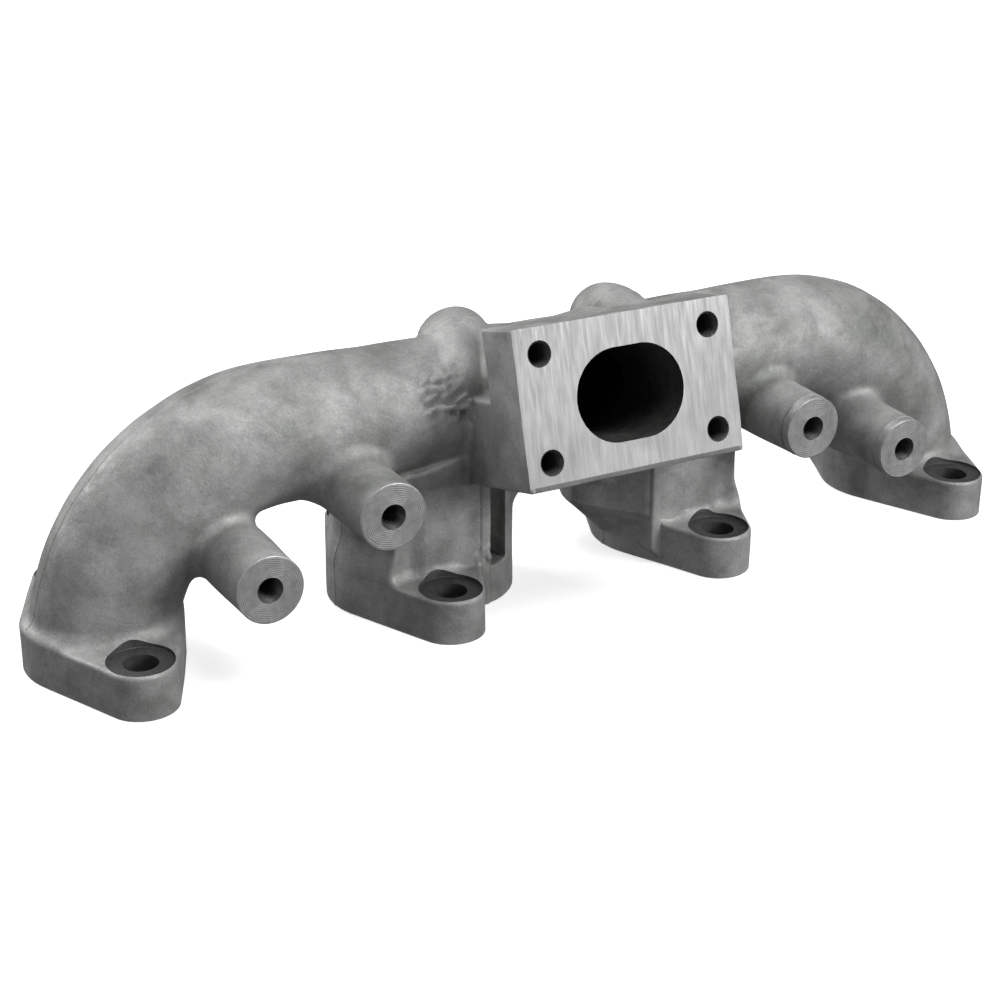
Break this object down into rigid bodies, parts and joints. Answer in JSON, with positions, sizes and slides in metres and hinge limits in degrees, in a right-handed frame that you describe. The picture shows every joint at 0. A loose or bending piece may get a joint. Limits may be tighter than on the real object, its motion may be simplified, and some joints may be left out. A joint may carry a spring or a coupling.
{
  "type": "exhaust manifold",
  "caption": "One-piece cast-iron log exhaust manifold: port pads on risers and elbows, a tilted turbocharger flange and threaded heat-shield bosses.",
  "frame": {"origin": "on the cylinder-head face, midway between ports 2 and 3 on the port line", "axes": "+X along the row of ports towards port 4, +Y away from the turbocharger, +Z away from the cylinder head"},
  "size_m": [0.3662, 0.1114, 0.1048],
  "materials": {
    "cast_iron": "shot-blasted sand casting, matt, fine grain",
    "machined_iron": "fine milled iron face on a cast block"
  },
  "bodies": {
    "root": {"port_pad_1": "cast_iron", "port_pad_2": "cast_iron", "port_pad_3": "cast_iron", "port_pad_4": "cast_iron", "end_elbow_1": "cast_iron", "end_elbow_4": "cast_iron", "runner_left": "cast_iron", "runner_right": "cast_iron", "riser_2": "cast_iron", "riser_3": "cast_iron", "collector": "cast_iron", "turbo_flange": "machined_iron", "crown_2": "cast_iron", "crown_3": "cast_iron", "shield_boss_outer_left": "cast_iron", "shield_boss_inner_left": "cast_iron", "shield_boss_inner_right": "cast_iron", "shield_boss_outer_right": "cast_iron"}
  },
  "joints": []
}
